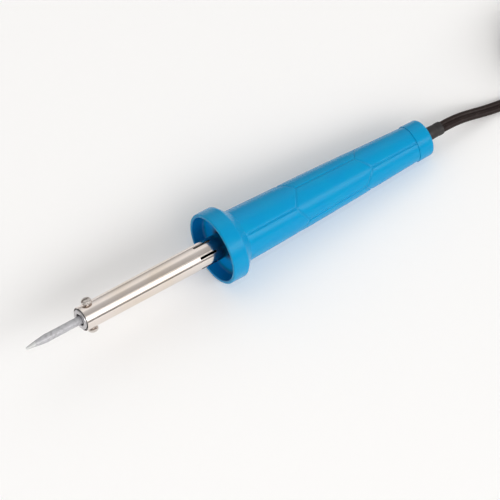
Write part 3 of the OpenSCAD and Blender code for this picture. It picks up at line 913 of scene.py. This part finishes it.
# %% Groove pattern
FIRST_GROOVE_ROLL = 37.0
FORK_X, SPREAD_X, GATHER_X, JOIN_X = 164.0, 169.9, 207.3, 213.2
GROOVE_DEPTH, GROOVE_HALF_W = 0.3, 0.42
CROWN_DEPTH, CROWN_REACH = 0.16, 3.2


def distance_to_line(x, across, from_x, from_a, to_x, to_a):
    """Distance to a straight groove from (from_x, from_a) to (to_x, to_a) on the unrolled surface."""
    way_x, way_a = to_x - from_x, to_a - from_a
    t = np.clip(((x - from_x) * way_x + (across - from_a) * way_a) / (way_x**2 + way_a**2), 0, 1)
    return np.hypot(x - from_x - t * way_x, across - from_a - t * way_a)


def groove_distance(x, r, roll):
    """Distance over the surface, in millimetres, from the nearest groove."""
    lane = (np.degrees(roll) - FIRST_GROOVE_ROLL) / 90
    side = np.abs(lane - np.round(lane))
    across = side * (np.pi / 2) * r
    edge = np.pi / 4 * r
    lines = [
        (100.0, 0, FORK_X, 0), (FORK_X, 0, SPREAD_X, edge), (SPREAD_X, edge, GATHER_X, edge),
        (GATHER_X, edge, JOIN_X, 0), (JOIN_X, 0, 300.0, 0),
    ]
    return np.min([distance_to_line(x, across, *line) for line in lines], axis=0)


print("grooves fork at", FORK_X, "and join at", JOIN_X, "mm from the point of the bit")

# %% [markdown]
# ## The handle
#
# Guard and grip are one moulding, so they are one mesh. The outline starts in the cup's floor, goes over the
# rim and the outer band, down the shoulder, along the tapering grip, and back through the bore. Only the
# grip's rows pass through the groove formula, and they are close together so that a groove has several
# points across it.

# %% Handle
SHOULDER_X, SEAT_X, GRIP_END, BORE_R = 126.18, 128.0, 242.4, 8.4
GRIP_X, GRIP_FRONT_R, GRIP_REAR_R, GRIP_CROWN = 131.68, 14.5, 9.9, 0.3
ROW_STEP = 0.3


def grip_radius(x):
    """The grip's own outline: a straight taper, very slightly crowned."""
    u = (x - GRIP_X) / (GRIP_END - GRIP_X)
    return GRIP_FRONT_R + (GRIP_REAR_R - GRIP_FRONT_R) * u + GRIP_CROWN * np.sin(np.pi * u)


def grip_relief(x, r, roll):
    """The grip's radius with its grooves; the guard and the inside of the handle stay as they are."""
    on_grip = (r > BORE_R + 0.6) & (x > GRIP_X + 0.2)
    away = groove_distance(x, r, roll)
    fade = np.clip((x - GRIP_X - 0.2) / 2.0, 0, 1) * np.clip((GRIP_END - x) / 0.6, 0, 1)
    groove = GROOVE_DEPTH * np.exp(-((away / GROOVE_HALF_W) ** 2))
    crown = CROWN_DEPTH * np.exp(-((away / CROWN_REACH) ** 2))
    return r - np.where(on_grip, (groove + crown) * fade, 0)


def make_handle(sides=320):
    front = rounded(
        [
            (SEAT_X, SEAT_R, 0), (FLOOR_X, SEAT_R, 0.4), (FLOOR_X, CUP_R, 1.5), (GUARD_X, CUP_R, 0.55),
            (GUARD_X, GUARD_R, 0.75), (SHOULDER_X, GUARD_R, 1.4), (GRIP_X, GRIP_FRONT_R, 1.1),
            (136, 14.4, 0),
        ],
        steps=7, closed=False,
    )[:-1]
    grip_from = front[-1][0] + ROW_STEP
    rows = int((GRIP_END - 0.4 - grip_from) / ROW_STEP)
    grip = [(x, float(grip_radius(x))) for x in np.linspace(grip_from, GRIP_END - 0.4, rows)]
    rear = rounded(
        [
            (GRIP_END - 0.4, GRIP_REAR_R, 0), (GRIP_END, GRIP_REAR_R, 0.15), (GRIP_END, BORE_R, 0.2),
            (SEAT_X, BORE_R, 0.3),
        ],
        steps=4, closed=False,
    )[1:]
    grid = ring_grid(front + grip + rear, sides, grip_relief)
    handle = make("handle_moulding", [skin(grid, along=True)])
    store_groove_depth(handle)
    return handle


def store_groove_depth(handle):
    """Keeps, for every point, how deep in a groove it lies, from 0 on a panel to 1 at the bottom."""
    mesh = handle.data
    back = TOOL.inverted()
    x, y, z = np.array([back @ vertex.co for vertex in mesh.vertices]).T / MM
    r = np.hypot(y, z)
    away = groove_distance(x, r, np.arctan2(-y, z))
    on_grip = (r > BORE_R + 0.6) & (x > GRIP_X + 1)
    depth = np.where(on_grip, np.exp(-((away / (1.6 * GROOVE_HALF_W)) ** 2)), 0)
    mesh.attributes.new("groove", "FLOAT", "POINT").data.foreach_set("value", depth.astype(np.float32))


handle = make_handle()
settle(handle, "iron", "handle_plastic", handle_plastic, "handle")

# %% [markdown]
# ## The rear cap
#
# A separate moulding plugs the handle's end and anchors the lead. Only its rim and rounded end show. Inside,
# a saddle takes the clamp that holds the lead, so the piece is two shells: the turned cap and the saddle.

# %% Rear cap
SPIGOT_X, SPIGOT_R, CAVITY_R, CAP_HOLE_R, CAP_WALL = 227.6, 8.3, 7.3, 3.95, 5.2
CAP_FACE_X, CAP_FRONT_R, CAP_REAR_R = CAP_X - 0.14, 10.2, 10.05


def make_cap(sides=128):
    outline = rounded(
        [
            (SPIGOT_X, CAVITY_R, 0.2), (SPIGOT_X, SPIGOT_R, 0.3), (CAP_FACE_X, SPIGOT_R, 0),
            (CAP_FACE_X, CAP_FRONT_R, 0.12), (CAP_END, CAP_REAR_R, 2.3), (CAP_END, CAP_HOLE_R, 0.35),
            (CAP_END - CAP_WALL, CAP_HOLE_R, 0.2), (CAP_END - CAP_WALL, CAVITY_R, 0.4),
        ],
        steps=7,
    )
    saddle_r, saddle_z = (CAVITY_R + SPIGOT_R) / 2, -flex_t / 2 - 0.1
    half = math.acos(-saddle_z / saddle_r)
    arc = [(saddle_r * math.sin(a), -saddle_r * math.cos(a)) for a in np.linspace(-half, half, 25)]
    saddle_x = SPIGOT_X + 1
    saddle = np.array([[(x, y, z) for y, z in arc] for x in (saddle_x, saddle_x + 5)])
    return make("handle_rear_cap", [skin(ring_grid(outline, sides), along=True), capped(saddle)])


cap = make_cap()
settle(cap, "iron", "handle_plastic", handle_plastic, "rear_cap")

# %% [markdown]
# ## Steel and nickel
#
# The barrel is thin drawn tube with a bright nickel plate: smooth enough to mirror the room in bands, with
# faint drawing lines along it and a straw tint where the heater sits. Towards the guard it has painted shade,
# darkest inside the cup. The collar and the screws are turned and keep rings from the lathe. The bit's iron
# plating is dull grey from use and bright only where it is tinned.

# %% Metal finishes
BARREL_X, BARREL_R, BARREL_WALL = 34.3, 6.7, 0.5


def make_barrel_nickel():
    nickel = Finish("barrel_nickel", paint(233, 224, 218), 0.12, Metallic=1.0)
    drawn = nickel.noise(5, stretch=(0.012, 1, 1), detail=2)
    smears = nickel.noise(0.16, stretch=(0.5, 1, 1), detail=5)
    dulled = nickel.span(smears, 0.45, 0.8, 0, 0.1)
    nickel.rough(nickel.math("ADD", nickel.span(drawn, 0.3, 0.7, 0.08, 0.15), dulled))
    hot = nickel.math("MULTIPLY", nickel.span(nickel.x, 44, 60), nickel.span(nickel.x, 108, 84))
    straw = nickel.math("MULTIPLY", hot, nickel.span(smears, 0.3, 0.75, 0.12, 0.4))
    nickel.tint(straw, paint(222, 205, 180))
    # painted shade: the barrel grows greyer towards the guard
    nickel.tint(nickel.math("MULTIPLY", nickel.span(nickel.x, 106, 116), 0.3), paint(190, 178, 172))
    # painted shade, darkest where the barrel runs inside the cup
    cup_shade = nickel.span(nickel.math("ADD", nickel.x, nickel.math("MULTIPLY", smears, 4.0)), 115.5, 122)
    nickel.tint(nickel.math("MULTIPLY", cup_shade, 0.8), paint(96, 86, 88))
    inside = nickel.span(nickel.radius(), BARREL_R - 0.15, BARREL_R - 0.4)
    nickel.tint(inside, paint(34, 30, 28))
    nickel.relief(drawn, 0.0025)
    nickel.relief(nickel.noise(0.35, detail=1), 0.012)
    return nickel.material


def make_turned_steel(name, colour, roughness, marks_per_mm, axis=TOOL):
    steel = Finish(name, colour, roughness, axis, Metallic=1.0)
    rings = steel.rings(marks_per_mm)
    steel.rough(steel.span(rings, 0.3, 0.7, roughness - 0.08, roughness + 0.08))
    aged = steel.span(steel.noise(0.5, detail=6), 0.5, 0.78)
    steel.tint(steel.math("MULTIPLY", aged, 0.45), tuple(v * 0.62 for v in colour))
    steel.relief(rings, 0.008)
    return steel.material


def make_bit_plating():
    plating = Finish("bit_plating", paint(182, 182, 186), 0.55, Metallic=0.35)
    clouds = plating.noise(0.55, detail=6)
    plating.tint(plating.span(clouds, 0.42, 0.72, 0, 0.5), paint(150, 150, 155))
    tinned = plating.span(plating.math("ADD", plating.x, plating.math("MULTIPLY", clouds, 5.0)), 9.5, 7.0)
    plating.tint(plating.math("MULTIPLY", tinned, 0.7), paint(206, 208, 206))
    scale_band = plating.math("MULTIPLY", plating.span(plating.x, 9, 12), plating.span(plating.x, 30, 16))
    scale = plating.math("MULTIPLY", scale_band, plating.span(clouds, 0.5, 0.75, 0.0, 0.35))
    plating.tint(scale, paint(140, 134, 128))
    dull = plating.span(clouds, 0.3, 0.7, 0.42, 0.6)
    plating.rough(plating.math("SUBTRACT", dull, plating.math("MULTIPLY", tinned, 0.16)))
    plating.relief(plating.noise(2.2, detail=5), 0.03)
    return plating.material


barrel_nickel = make_barrel_nickel()
turned_steel = make_turned_steel("turned_steel", paint(196, 194, 196), 0.36, 5.0)
bit_plating = make_bit_plating()
print("metal finishes ready")

# %% [markdown]
# ## The bit
#
# The bit's point isn't a straight cone: it swells quickly from its blunt end and then runs into the shank,
# as a ground point does. A power of the distance gives that curve, and a little unevenness at the point is
# what wiping on a sponge leaves.

# %% Bit
POINT_LENGTH, BIT_R, BIT_LENGTH = 12.5, 2.25, 78.0


def make_bit(sides=72):
    shoulder = BIT_R + 0.1
    rise = np.linspace(0, 1, 40) ** 1.6
    point = [(POINT_LENGTH * u, POINT_R + (shoulder - POINT_R) * u**0.7) for u in rise]
    cap = [(0.0, 0.0), (0.0, POINT_R * 0.6), (0.05, POINT_R * 0.85)]
    shank = rounded(
        [
            (POINT_LENGTH + 0.4, shoulder, 0), (POINT_LENGTH + 1.6, BIT_R, 0.8), (BIT_LENGTH, BIT_R, 0.5),
            (BIT_LENGTH, 0, 0),
        ],
        closed=False,
    )
    outline = cap + point[1:] + shank

    def worn(x, r, roll):
        wave = np.sin(3 * roll + x * 1.1) * np.sin(x * 2.3 + 1.3) + 0.5 * np.sin(5 * roll - x * 3.1)
        return r * (1 - 0.018 * (1 + wave) * np.exp(-((x / 8) ** 2)))

    return make("copper_bit", [skin(ring_grid(outline, sides, worn))])


bit = make_bit()
settle(bit, "bit", "bit_plating", bit_plating, "tip")

# %% [markdown]
# ## The collar
#
# The collar closes the barrel's mouth. Its face stands a little proud inside a narrow groove, and its own
# mouth is wider than the bit, which is why two dark rings show there. Broken edges catch the light, so every
# corner has a small rounding.

# %% Collar
COLLAR_X, COLLAR_LENGTH, MOUTH_R, COLLAR_GROOVE = 33.5, 12.5, 3.3, 0.6
COLLAR_FACE_R, COLLAR_R, COLLAR_BORE_R = BARREL_R - BARREL_WALL - COLLAR_GROOVE, 6.15, 2.31
SCREW_X, SCREW_R, SCREW_ROLLS = 39.7, 1.5, (-27.5, 152.5)
HOLE_SIDES = 48


def cut_away(piece, cutters, place=TOOL):
    """Cuts closed shells, points in millimetres in the place's own frame, out of a finished piece."""
    tool = make("cutter", cutters, place)
    cut = piece.modifiers.new("cut", "BOOLEAN")
    cut.operation, cut.solver, cut.object = "DIFFERENCE", "EXACT", tool
    bpy.context.view_layer.update()
    shape = bpy.data.meshes.new_from_object(piece.evaluated_get(bpy.context.evaluated_depsgraph_get()))
    piece.modifiers.clear()
    piece.data = shape
    shape.shade_smooth()
    shape.set_sharp_from_angle(angle=math.radians(32))
    bpy.data.objects.remove(tool)
    return piece


def drill(x, roll, r, low, high):
    """A cylinder across the axis, as a cutter: at x, at a roll angle, from one distance out to another."""
    a = np.linspace(0, 2 * np.pi, HOLE_SIDES, endpoint=False)
    turn = np.array(Matrix.Rotation(math.radians(roll), 3, "X"))
    rim = [x + r * np.cos(a), r * np.sin(a)]
    rows = [np.stack([*rim, np.full(HOLE_SIDES, z)], -1) @ turn.T for z in (low, high)]
    return capped(np.array(rows))


def make_collar(sides=96):
    groove_x, mouth_x, end_x = BARREL_X + COLLAR_GROOVE, COLLAR_X + 3, COLLAR_X + COLLAR_LENGTH
    outline = rounded(
        [
            (COLLAR_X, MOUTH_R, 0.35), (COLLAR_X, COLLAR_FACE_R, 0.4), (groove_x, COLLAR_FACE_R, 0.1),
            (groove_x, COLLAR_R, 0.1), (end_x, COLLAR_R, 0.3), (end_x, COLLAR_BORE_R, 0.2),
            (mouth_x, COLLAR_BORE_R, 0.15), (mouth_x, MOUTH_R, 0.1),
        ]
    )
    collar = make("bit_collar_turned", [skin(ring_grid(outline, sides), along=True)])
    return cut_away(collar, [drill(SCREW_X, roll, SCREW_R + 0.06, 1, 7) for roll in SCREW_ROLLS])


collar = make_collar()
settle(collar, "iron", "turned_steel", turned_steel, "bit_collar")

# %% [markdown]
# ## The barrel
#
# The tube is half a millimetre thick, with six vent slots that end inside the cup of the guard and two holes
# for the screws. The slots are cut clean through, because the heater's beads can be seen in them, and a dark
# patch painted on would not change as the view moves round.

# %% Barrel
FLANGE_X, FLANGE_R, FLANGE_T = 130.0, 8.2, 1.0
VENT_LENGTH, VENT_WIDTH, VENT_END, VENT_ROLL, VENTS = 10.4, 1.4, 116.3, 42.5, 6


def slot_cutter(end_x, length, width, roll, low, high):
    """A round-ended slot across the wall, as a cutter."""
    half, turn = width / 2, np.array(Matrix.Rotation(math.radians(roll), 3, "X"))
    a = np.radians(np.linspace(-90, 90, 9))
    ends = [(end_x - half + half * math.cos(t), half * math.sin(t)) for t in a]
    ends += [(end_x - length + half - half * math.cos(t), -half * math.sin(t)) for t in a]
    return capped(np.array([[(x, y, z) for x, y in ends] for z in (low, high)]) @ turn.T)


def make_barrel(sides=180):
    inner = BARREL_R - BARREL_WALL
    outline = rounded(
        [
            (BARREL_X, inner, 0.08), (BARREL_X, BARREL_R, 0.42), (FLANGE_X, BARREL_R, 0.3),
            (FLANGE_X, FLANGE_R, 0.15), (FLANGE_X + FLANGE_T, FLANGE_R, 0.15),
            (FLANGE_X + FLANGE_T, inner, 0.4),
        ]
    )
    barrel = make("barrel_tube", [skin(ring_grid(outline, sides), along=True)])
    low, high = inner - 0.6, BARREL_R + 0.6
    cutters = [drill(SCREW_X, roll, SCREW_R + 0.3, low, high) for roll in SCREW_ROLLS]
    for k in range(VENTS):
        roll = VENT_ROLL + 360 * k / VENTS
        cutters.append(slot_cutter(VENT_END, VENT_LENGTH, VENT_WIDTH, roll, low, high))
    return cut_away(barrel, cutters)


barrel = make_barrel()
settle(barrel, "iron", "barrel_nickel", barrel_nickel, "barrel")

# %% [markdown]
# ## The clamp screws
#
# Two M3 slotted pan-head screws bear on the bit from opposite sides. The thread is real: each ring of
# points has its radius from the pitch, and the phase goes once round with the roll, which makes a helix.
# Each screw is built standing on its own axis, so that it turns on it when its joint moves.

# %% Clamp screws
SCREW_POINT, SCREW_HEAD_Z, HEAD_R, HEAD_H, THREAD_PITCH = 2.35, 7.8, 2.85, 2.0, 0.5


def screw_axis(roll):
    """The frame in which a clamp screw stands along its own X, from the bit outwards."""
    stand = Matrix.Rotation(math.radians(roll), 4, "X") @ Matrix.Translation((SCREW_X * MM, 0, 0))
    return TOOL @ stand @ Matrix.Rotation(math.radians(-90), 4, "Y")


def screw_thread(x, r, roll):
    """The radius with a rolled thread between the point and the head."""
    wave = np.abs(((x / THREAD_PITCH + roll / (2 * np.pi)) % 1) * 2 - 1)
    cut = 0.27 * np.clip(1.25 * wave - 0.12, 0, 1)
    on_shank = (x > SCREW_POINT + 0.3) & (x < SCREW_HEAD_Z - 0.1) & (r > SCREW_R - 0.05)
    return np.where(on_shank, SCREW_R - cut, r)


def make_screw(name, roll, sides=48):
    top = SCREW_HEAD_Z + HEAD_H
    shank = [(x, SCREW_R) for x in np.arange(SCREW_POINT + 0.35, SCREW_HEAD_Z - 0.1, THREAD_PITCH / 9)]
    point = [(SCREW_POINT, 0, 0), (SCREW_POINT, 1.1, 0.1), (SCREW_POINT + 0.3, 1.25, 0)]
    head = rounded(
        [
            (SCREW_HEAD_Z, 1.25, 0), (SCREW_HEAD_Z, HEAD_R, 0.15), (SCREW_HEAD_Z + 1.1, HEAD_R - 0.05, 0.5),
            (top, 2.0, 0.9), (top, 0, 0),
        ],
        steps=6, closed=False,
    )
    place = screw_axis(roll)
    outline = rounded(point, closed=False) + shank + head
    screw = make(name, [skin(ring_grid(outline, sides, screw_thread))], place)
    half, reach, low = 0.4, 4, top - 1.0
    corners = ((-half, -reach), (half, -reach), (half, reach), (-half, reach))
    slot = np.array([[(x, y, z) for y, z in corners] for x in (low, top + 1)])
    return cut_away(screw, [capped(slot)], place)


for name, roll in zip(("upper", "lower"), SCREW_ROLLS):
    screw = make_screw(f"{name}_clamp_screw", roll)
    steel = paint(212, 205, 200)
    screw_steel = make_turned_steel(f"screw_steel_{name}", steel, 0.24, 7.0, screw_axis(roll))
    settle(screw, f"{name}_screw", "screw_steel", screw_steel, f"clamp_screw_{name}")

# %% [markdown]
# ## The heating element's wire
#
# Inside the barrel a resistance wire is wound on mica. The packed model holds it as a ribbed sleeve, which
# is enough to weigh and to check. Here it is the real thing: one wire in a helix, swept like the lead.

# %% Heater winding
def make_winding():
    lo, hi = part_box("heater_winding")
    from_x = ((TOOL.inverted() @ Vector((lo.x, 0, (lo.z + hi.z) / 2))).x / MM) + 0.6
    wraps, pitch, coil_r, wire_r = 23, 1.275, 4.22, 0.35
    t = np.linspace(0, 2 * np.pi * wraps, wraps * 30)
    spots = np.stack([from_x + pitch * t / (2 * np.pi), -coil_r * np.sin(t), coil_r * np.cos(t)], -1)
    way = np.gradient(spots, axis=0)
    way /= np.linalg.norm(way, axis=1, keepdims=True)
    out = spots * [0, 1, 1] / coil_r
    side = np.cross(way, out)
    a = np.linspace(0, 2 * np.pi, 10, endpoint=False)[None, :, None]
    wire = spots[:, None] + wire_r * (out[:, None] * np.cos(a) + side[:, None] * np.sin(a))
    return make("heater_wire", [capped(wire)])


wire = Finish("resistance_wire", paint(120, 116, 112), 0.45, Metallic=0.9)
wire.tint(wire.span(wire.noise(1.5, detail=4), 0.45, 0.7, 0, 0.6), paint(86, 78, 74))
wire.relief(wire.noise(5, detail=3), 0.01)
winding = make_winding()
settle(winding, "iron", "resistance_wire", wire.material, "heater_winding")

# %% [markdown]
# ## The pieces inside
#
# The other pieces inside have their true shape already, so they stay as they are and only get their finish:
# mica in flakes, porous ceramic, pressed fibre, woven glass sleeving, brass, and the two insulated cores.

# %% Finishes of the inner pieces
def make_mica():
    mica = Finish("mica", paint(188, 150, 92), 0.3, Coat_Weight=0.4)
    flakes = mica.cells(0.5)
    mica.tint(mica.span(flakes, 0.2, 0.8), paint(150, 108, 60))
    mica.tint(mica.span(mica.noise(0.4, detail=6), 0.5, 0.8, 0, 0.5), paint(222, 196, 146))
    mica.relief(flakes, 0.03)
    return mica.material


def make_ceramic():
    ceramic = Finish("ceramic", paint(232, 226, 210), 0.62)
    ceramic.tint(ceramic.span(ceramic.noise(0.6, detail=7), 0.5, 0.75, 0, 0.55), paint(206, 190, 160))
    ceramic.tint(ceramic.span(ceramic.noise(4, detail=2), 0.7, 0.78, 0, 0.7), paint(150, 132, 110))
    ceramic.relief(ceramic.noise(3, detail=5), 0.04)
    return ceramic.material


def make_fibre():
    fibre = Finish("pressed_fibre", paint(176, 142, 102), 0.85)
    strands = fibre.noise(1.6, stretch=(0.25, 1, 1.6), detail=6)
    fibre.tint(fibre.span(strands, 0.4, 0.7), paint(132, 100, 68))
    fibre.relief(strands, 0.06)
    return fibre.material


def make_sleeving():
    glass = Finish("glass_sleeving", paint(232, 230, 222), 0.7)
    slants = [glass.math(way, glass.x, glass.z) for way in ("ADD", "SUBTRACT")]
    weave = [glass.math("SINE", glass.math("MULTIPLY", slant, 9.0)) for slant in slants]
    braid = glass.math("MULTIPLY", *weave)
    glass.tint(glass.span(braid, -0.6, 0.6, 0.6, 0), paint(190, 184, 168))
    glass.relief(glass.span(braid, -1, 1), 0.06)
    return glass.material


def make_cores():
    cores = Finish("core_insulation", paint(102, 58, 34), 0.4)
    cores.tint(cores.math("GREATER_THAN", cores.y, 0.0), paint(36, 82, 166))
    cores.tint(cores.span(cores.noise(0.8, detail=5), 0.55, 0.8, 0, 0.25), paint(200, 196, 190))
    cores.rough(cores.span(cores.noise(1.5), 0.3, 0.7, 0.32, 0.5))
    cores.relief(cores.noise(2.5, detail=3), 0.01)
    return cores.material


def make_brass():
    brass = Finish("brass", paint(212, 172, 96), 0.3, Metallic=1.0)
    marks = brass.rings(4.0)
    brass.rough(brass.span(marks, 0.3, 0.7, 0.24, 0.4))
    brass.tint(brass.span(brass.noise(0.5, detail=6), 0.5, 0.8, 0, 0.6), paint(150, 112, 62))
    brass.relief(marks, 0.01)
    return brass.material


heater_steel = make_turned_steel("heater_steel", paint(150, 148, 150), 0.42, 3.0)
clamp_plastic = make_moulded_black("clamp_plastic", paint(58, 58, 60), 2.0, 0.55)
brass, ceramic = make_brass(), make_ceramic()
mica = make_mica()
print("inner finishes ready")

# %% [markdown]
# ## Dressing the inner pieces
#
# Each packed node already rides on its body, so a new material in its slots is all that it needs.

# %% Inner pieces
inner_finishes = {
    "heater_core": heater_steel, "heater_shell": heater_steel, "inner_mica": mica, "outer_mica": mica,
    "ceramic_discs": ceramic, "ceramic_beads": ceramic, "heater_leads": blade.material,
    "heat_washer": make_fibre(), "ring_nut": brass, "wire_crimps": brass, "crimp_sleeves": make_sleeving(),
    "cord_cores": make_cores(), "cord_tail": cord_jacket, "cord_clamp": clamp_plastic,
    "cord_clamp_screws": screw_steel,
}
for node, finish in inner_finishes.items():
    for slot in frame["nodes"][node].material_slots:
        slot.material = finish
print("dressed", len(inner_finishes), "inner pieces")
